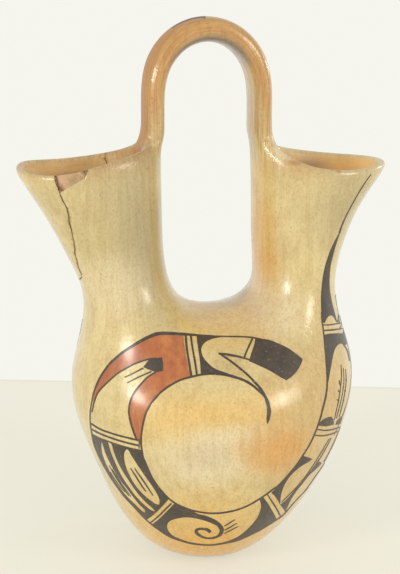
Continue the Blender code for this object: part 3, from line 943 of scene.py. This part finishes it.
blackFields = {
    "headCap": [area(
        [(262, 339.2), (270, 340.8), (280, 344.6), (288, 348.8), (295, 353.8), (302.6, 359.8)],
        [(300.5, 365), (297, 371), (292, 376.5), (286.5, 380.3)],
        [(281, 377.5), (275, 373.8), (268, 369.8), (262, 367), (255, 363.8), (249, 361.2)],
        [(251, 354), (254, 345), (255.5, 337.5)])],
    "thumb": [area(
        [(198, 348), (200, 362), (200.8, 374)],
        [(210, 373), (218, 373), (226, 374), (234, 376)],
        [(226, 372.7), (218, 370), (212, 366.7), (207, 362), (203, 356.7), (201.3, 351), (202, 346.5), (205, 342.5),
         (211, 339.3), (217, 337.8), (223, 336.8)],
        [(210, 335), (196.3, 334.5)])],
    "wingBlock": [area(
        [(156, 358), (162, 357.2)],
        [(163.3, 363), (163.6, 371)],
        [(157, 372), (150, 370.2), (143.3, 367)],
        [(146, 363.5), (149.5, 359)])],
    "leaves": [area(
        [(100, 437.5), (110, 441.3), (120, 444.7), (130, 447.5), (141.8, 450)],
        [*bit("spiral", 28, 33), (169, 498.7)],
        [(164, 504.5), (158, 510.7), (151.5, 516.5), (146, 520)],
        [*bit("outer", 36, 27), (92.2, 433.5)]), area(
        [(101.6, 450), (103.3, 457), (106.5, 465), (110.5, 473), (115.5, 482), (121.5, 490), (128.5, 498),
         (136, 505.2), (142, 511), (145.3, 512.5)],
        [(144, 509), (139, 504), (133, 496.5), (127, 488.5), (121, 481), (115, 472), (110, 463), (105.5, 453),
         (103, 445), (101.3, 441.5)]), area(
        [(109.3, 447), (111.5, 454), (114.5, 461), (118.5, 470), (123.5, 479), (129.5, 488), (136.5, 497),
         (144, 504.5), (150.5, 509.8), (155, 511.5)],
        [(153, 508.5), (147, 503.3), (140, 496), (133.5, 487.5), (127.5, 478.5), (121.5, 469), (117, 460),
         (113.5, 450.5), (111.6, 444.2), (108, 441.8)]), area(
        [(124.3, 453), (124.3, 459), (125.5, 465), (128, 472), (132, 480), (137, 487.5), (143, 494), (150, 500),
         (156.5, 504.3), (159.5, 504.3)],
        [(159.3, 499), (156, 492), (151.5, 485), (146.5, 478), (141, 470), (136, 462.5), (131.5, 455.5),
         (128.7, 450.5), (126.5, 449)])],
    "eye": [area(
        [(169, 509), (163, 515), (157.5, 520.3), (152, 524.3)],
        [(158, 529), (165, 533.5), (172, 537), (182.5, 541)],
        [(176, 537.5), (171, 534), (168, 530), (167, 526), (168.5, 522.3), (172, 520), (180, 517.9), (188, 517.3),
         (196, 518.4), (204, 520.4), (212, 523.3), (217, 526), (219.7, 530)],
        [(224, 530.5), (222.3, 525.5), (217, 520.8), (211, 517.7), (205, 515.5), (199, 514.2), (194, 511.8)],
        [(188, 509.3), (181, 506.3), (174.3, 503.5)])],
    "crescent": [area(
        [(268, 503.5), (273, 512), (276.9, 519.4)],
        [(265, 527), (255, 532.5), (245, 537), (232, 541.2), (218, 544.4)],
        [(225, 541.8), (233, 539), (240, 535.3), (247, 529.5), (253, 523.3), (257.5, 517), (260, 511), (261, 505),
         (259.5, 499.5)],
        [(263.3, 497.3)])],
}

redFields = {
    "wing": [area(
        [(184.5, 345), (187, 360), (190.3, 377.5)],
        [*bit("spiral", 15, 24), (140, 440)],
        [(136.3, 439)],
        [*bit("prongEdge", 9, 1), (157, 371.5)],
        [(163, 371)],
        [(163, 363), (161.7, 357.5)],
        [*bit("wingEdge", 1, 12), (93, 406)],
        [*bit("outer", 22, 12), (183.3, 333.5)])],
}

# Right of it a column of ornament goes up the side. What shows from the front is drawn in pixels
# too; what is past the edge is in degrees round from the front, mm of height and mm of width.

def seen(points):
    # pixels of the front view as mm of arc round the body and mm of height
    made = []
    for x, y in points:
        place, aim = sightLine(x, y)
        hit, _ = castOn(place, aim, place + aim * film["sight"])
        turn = degrees(atan2(hit.x - film["middle"], -hit.y))
        made.append((turn * film["degree"], hit.z * 1000))
    return made


def seenArea(*runs):
    return area(*(seen(run) for run in runs))


columnSeen = {
    "spiral": [(276, 488, 1.5), (285, 478.5, 1.4), (291, 471.5), (296.3, 465), (303, 455.2), (310, 443.8),
        (315.6, 431.5, 1.5), (320, 419, 1.6), (322.4, 410, 1.7), (324.7, 401, 1.8), (326.3, 393, 1.7),
        (327.1, 385, 1.5), (327, 376, 1.4), (326.2, 364, 1.2), (325.2, 352), (324.2, 340), (323.3, 330, 1.3),
        (322, 321), (321.3, 312, 1.2)],
    "outer": [(276, 520, 1.3), (281.5, 516.5, 1.2), (286, 512, 1.1), (295, 501.5, 0.9), (305, 491, 0.8), (310, 484),
        (316.3, 475), (322.5, 466.3), (328.8, 455), (335, 442.5), (341, 427, 0.9)],
    "fineA": [(281.3, 502.5, 0.7), (287.5, 496.3, 0.9), (296.3, 487.3), (305, 476.9), (312.5, 466.3), (318.8, 456.3),
        (325, 446, 0.8), (329.4, 438.3, 0.6)],
    "fineB": [(283.2, 503.8, 0.7), (292.5, 494.6, 0.9), (301.5, 484), (310, 473), (316.3, 463.8), (321.3, 456.1),
        (326.9, 446.3, 0.8), (331.3, 437.8, 0.6)],
    "partLowA": [(317.1, 429.4, 1.2), (325, 430.4, 1.4), (332.5, 429.4, 1.3), (340.3, 426.9, 1.0)],
    "partLowB": [(315, 435.3, 1.2), (322.5, 435.7, 1.3), (330, 434.4), (337.8, 431.4, 1.0)],
    "partHighA": [(323.3, 325, 1.2), (330, 324.8, 1.4), (336, 323.8), (341.3, 323.1, 1.1)],
    "partHighB": [(324, 330.5, 1.3), (331, 330, 1.6), (337, 329.3, 1.5), (342.8, 328.5, 1.2)],
    "spikeLine": [(371, 174.4, 0.8), (366.3, 180.8, 0.9), (360, 190.6, 1.0), (353.8, 201.3), (347.5, 213.1, 1.1),
        (342.5, 223.8, 1.4), (339.3, 233.1, 1.6)],
    "spikeSide": [(335.4, 295, 0.8), (337, 303, 1.3), (338.7, 311, 1.8), (338.7, 316, 1.6), (337.8, 322.3, 1.0)],
    "ovalSide": [(343.5, 344.5, 1.1), (346.3, 348.6, 1.2), (348.3, 354), (349.6, 361, 1.0)],
    "featherA": [(341, 364.5, 0.7), (341.4, 373, 0.9), (341.2, 381), (340, 391), (338.4, 401), (336, 412),
        (334.2, 420, 0.7)],
    "featherB": [(343.3, 368, 0.6), (343.9, 380, 0.8), (342.8, 391), (341, 400.5), (338.5, 410.5),
        (336.3, 418.5, 0.7)],
    "featherC": [(345.5, 369, 0.6), (346.1, 380, 0.8), (345.1, 390), (343.4, 400), (341, 410), (338.8, 417.5, 0.7)],
    "barbA": [(339.3, 380.3, 1.2), (339.7, 384.2, 1.3), (340.8, 386, 0.9)],
    "barbB": [(338.2, 390.3, 1.1), (339.2, 391.8, 1.2), (340.6, 392, 0.9)],
    "barbC": [(336.6, 399.8, 1.0), (337.8, 400, 1.2), (339, 401.5, 0.9)],
    "barbD": [(346, 379, 1.2), (346.3, 381.5)],
    "barbE": [(344.8, 390, 1.2), (345.2, 392)],
    "barbF": [(343.2, 399.5, 1.0), (343.6, 401, 1.1)],
}

columnHidden = {
    "outer": [(52, 69.8, 0.7), (55.8, 75.5, 0.8), (62.5, 84, 0.9), (70, 94), (77, 104, 1.0), (82.5, 114),
        (86, 124.5)],
    "partHighA": [(71, 119, 0.7), (84.5, 119.3)],
    "partHighB": [(71, 121.4, 0.7), (85.3, 122)],
}

columnFields = {
    "root": [seenArea(
        [(278, 486.2), (285, 478.3), (291, 471.3), (296.3, 465), (300, 460), (303.1, 455.8)],
        [(308, 457.3), (312.5, 459)],
        [(307.5, 462.5), (302.5, 465.3), (296.3, 470), (290, 476.3), (285, 483.8), (281.9, 491.3), (280.6, 496.9)],
        [(280, 504.6)],
        [(277.5, 500), (273.8, 495), (271.3, 492.9)])],
    "blade": [seenArea(
        [(315, 465), (310, 471.6), (303.8, 479.2), (297.5, 486.8), (291.3, 494.2), (285, 501), (280, 504.8)],
        [(285, 512.3)],
        [(287.8, 506.3), (291.3, 498.8), (296.3, 491.3), (302.5, 482.5), (310, 474.4), (316.3, 468.8),
         (322.1, 462.8)],
        [(317.5, 461.3)])],
    "lowLeft": [seenArea(
        [(320.5, 421.6), (323.1, 419.4), (327.5, 417.3), (331.3, 416.5)],
        [(333.5, 420), (333.8, 424.4)],
        [(329, 425.8), (325, 426.3), (318.1, 425.6)])],
    "lowRight": [area(
        seen([(336.9, 420.6), (341.3, 416.3), (343.5, 414.5)]) + past([(62.5, 84.4)]),
        past([(59.5, 80.3)]) + seen([(340.6, 423.8)]),
        seen([(335.4, 424.8)]))],
    "oval": [area(
        seen([(330, 333.6), (337, 333.2), (342.5, 333)]) + past([(78, 116.2), (83.3, 117)]),
        past([(77.5, 105), (70, 94.2), (62.5, 84.6)]),
        past([(69, 92), (73.5, 99), (76, 105), (75.5, 109)]) + seen([(344.5, 345.5), (341, 343.2)]),
        seen([(337.3, 345.5), (334.6, 350), (333, 356), (331.5, 364), (330, 372), (328.6, 380), (327.3, 386)]),
        seen([(327, 376), (326, 362), (325, 350), (323.8, 334.7)]))],
    "spike": [seenArea(
        [(333.8, 242.5), (329.4, 252.5), (325.6, 263.8), (323.1, 275), (321.5, 287.5), (320.9, 300), (321.3, 312.5),
         (322.3, 322.5)],
        [(324.7, 323.2)],
        [(326.9, 318.3), (330, 315.6), (332.8, 316.2), (335.6, 321)],
        [(337.5, 323)],
        [(334.6, 312.5), (332.4, 303.8), (330.7, 295), (329.6, 285), (329.7, 275), (330.8, 265), (333.2, 255),
         (336.4, 243.8), (339.9, 233.1)],
        [(338.9, 233.1)])],
}

handleLine = [(172, 28.3, 0.7), (178, 24.1, 0.9), (186, 20.5, 1.2), (194, 18.2, 1.5), (201, 17.2, 1.9),
    (205.5, 17.3, 2.1)]

paints = {
    "dirt": paintMaterial("crackDirt", (0.10, 0.050, 0.022), (0.30, 0.16, 0.07), 0.9, 0.0),
    "black": paintMaterial("blackPaint", (0.052, 0.040, 0.030), (0.105, 0.070, 0.045), 0.42, 0.25, 0.38),
    "red": paintMaterial("redPaint", (0.42, 0.115, 0.035), (0.66, 0.245, 0.055), 0.34, 0.6, 0.35),
}

for front, where in ((True, "front"), (False, "back")):
    for outside, side in ((True, "outer"), (False, "inner")):
        if front and outside:
            line = crackLine(broken["chipFoot"], 1.0)
        else:
            line = crackLine(broken["crackTop"], 0.6)
        layPaint("crack_" + where + "_" + side, [], [stroke(line, 0.6)], byFracture(outside, front),
                 film["crackStep"], paints["dirt"])
layPaint("handle_line", [], [stroke(handleLine)], byPixel(False), film["pixelStep"], paints["black"])

for turned, where in ((False, "front"), (True, "back")):
    layPaint("red_paint_" + where, list(redFields.values()), [], byPixel(turned), film["pixelStep"], paints["red"])
    layPaint("black_paint_" + where, list(blackFields.values()), [stroke(line) for line in brush.values()],
             byPixel(turned), film["pixelStep"], paints["black"])
    lines = [seen(stroke(line)) for line in columnSeen.values()]
    lines += [stroke(past(line), 0.8) for line in columnHidden.values()]
    layPaint("column_paint_" + where, list(columnFields.values()), lines, byAngle(turned), film["arcStep"],
             paints["black"])


# Room: a pale floor that runs back to a paler sweep, two soft lamps and an even sky

room = {
    "floorSize": 60.0,
    "floor": (0.90, 0.885, 0.79),
    "floorGlow": (0.915, 0.895, 0.765),  # what the camera sees of its own light near the jar
    "floorShare": 0.6,
    "wall": (0.913, 0.915, 0.850),       # what the camera sees behind and around
    "fadesOut": (0.35, 0.8),             # how far off the floor's glow turns into the wall's
    "seam": (0.80, 0.79, 0.68), "seamWidth": (0.003, 0.002),
    "wallWay": (0.2836, 0.9590), "wallAway": 0.246,      # the way that the wall lies, and how far off
    "sky": (0.97, 0.96, 0.92),
    "skyStrength": 0.72,
}
lamps = [
    # name, place, aimed at, size, power, colour
    ("leftLamp", (-1.06, -0.55, 0.47), (0, 0, 0.12), 0.27, 4.6, (1.0, 0.97, 0.90)),
    ("rightLamp", (0.78, -0.81, 0.54), (0, 0, 0.12), 0.34, 3.0, (1.0, 0.97, 0.90)),
    ("sideLamp", (1.08, 0.36, 0.42), (0, 0, 0.16), 0.16, 1.3, (1.0, 0.98, 0.94)),
]


def makeFloor():
    bm = bmesh.new()
    bmesh.ops.create_grid(bm, x_segments=1, y_segments=1, size=room["floorSize"] / 2)
    floor = newObject("floor", meshFrom("floor", bm))
    material, tree, surface = newMaterial("paleFloor", 0.9)
    feed(surface.inputs["Base Color"], room["floor"])
    surface.inputs["Specular IOR Level"].default_value = 0.1
    # the camera sees the wall past its foot, and all around far off
    place = objectPoint(tree)
    around = addNode(tree, "ShaderNodeVectorMath", {0: place}, 1, operation="LENGTH")
    wallWay = (*room["wallWay"], 0)
    toWall = addNode(tree, "ShaderNodeVectorMath", {0: place, 1: wallWay}, 1, operation="DOT_PRODUCT")
    away, seam = room["wallAway"], room["seamWidth"]
    behind = remap(toWall, away, away + seam[1])
    far = combine("MAXIMUM", remap(around, *room["fadesOut"]), behind)
    foot = times(remap(toWall, away - seam[0], away), combine("SUBTRACT", 1.0, behind))
    look = mixColour(foot, mixColour(far, room["floorGlow"], room["wall"]), room["seam"])
    glow = addNode(tree, "ShaderNodeEmission", {"Color": look})
    path = tree.nodes.new("ShaderNodeLightPath").outputs
    byEye = combine("MAXIMUM", path["Is Camera Ray"], path["Is Glossy Ray"])
    share = times(combine("MAXIMUM", far, room["floorShare"]), byEye)
    mixed = addNode(tree, "ShaderNodeMixShader", {0: share, 1: surface.outputs[0], 2: glow})
    feed(tree.nodes["Material Output"].inputs["Surface"], mixed)
    floor.data.materials.append(material)


def makeLamps():
    for name, place, aim, size, power, colour in lamps:
        data = bpy.data.lights.new(name, "AREA")
        data.shape = "DISK"
        data.size = size
        data.energy = power
        data.color = colour
        obj = newObject(name, data)
        obj.location = place
        obj.rotation_euler = (Vector(aim) - Vector(place)).to_track_quat("-Z", "Y").to_euler()


def makeSky():
    scene.world = bpy.data.worlds.new("sky")
    scene.world.use_nodes = True
    tree = scene.world.node_tree
    back = tree.nodes["Background"]
    feed(back.inputs["Color"], room["sky"])
    feed(back.inputs["Strength"], room["skyStrength"])
    wall = addNode(tree, "ShaderNodeBackground", {"Color": room["wall"]})
    byEye = addNode(tree, "ShaderNodeLightPath", {}, "Is Camera Ray")
    mixed = addNode(tree, "ShaderNodeMixShader", {0: byEye, 1: back.outputs[0], 2: wall})
    feed(tree.nodes["World Output"].inputs["Surface"], mixed)


makeFloor()
makeLamps()
makeSky()
scene.view_settings.view_transform = "Standard"

print("jar: done")
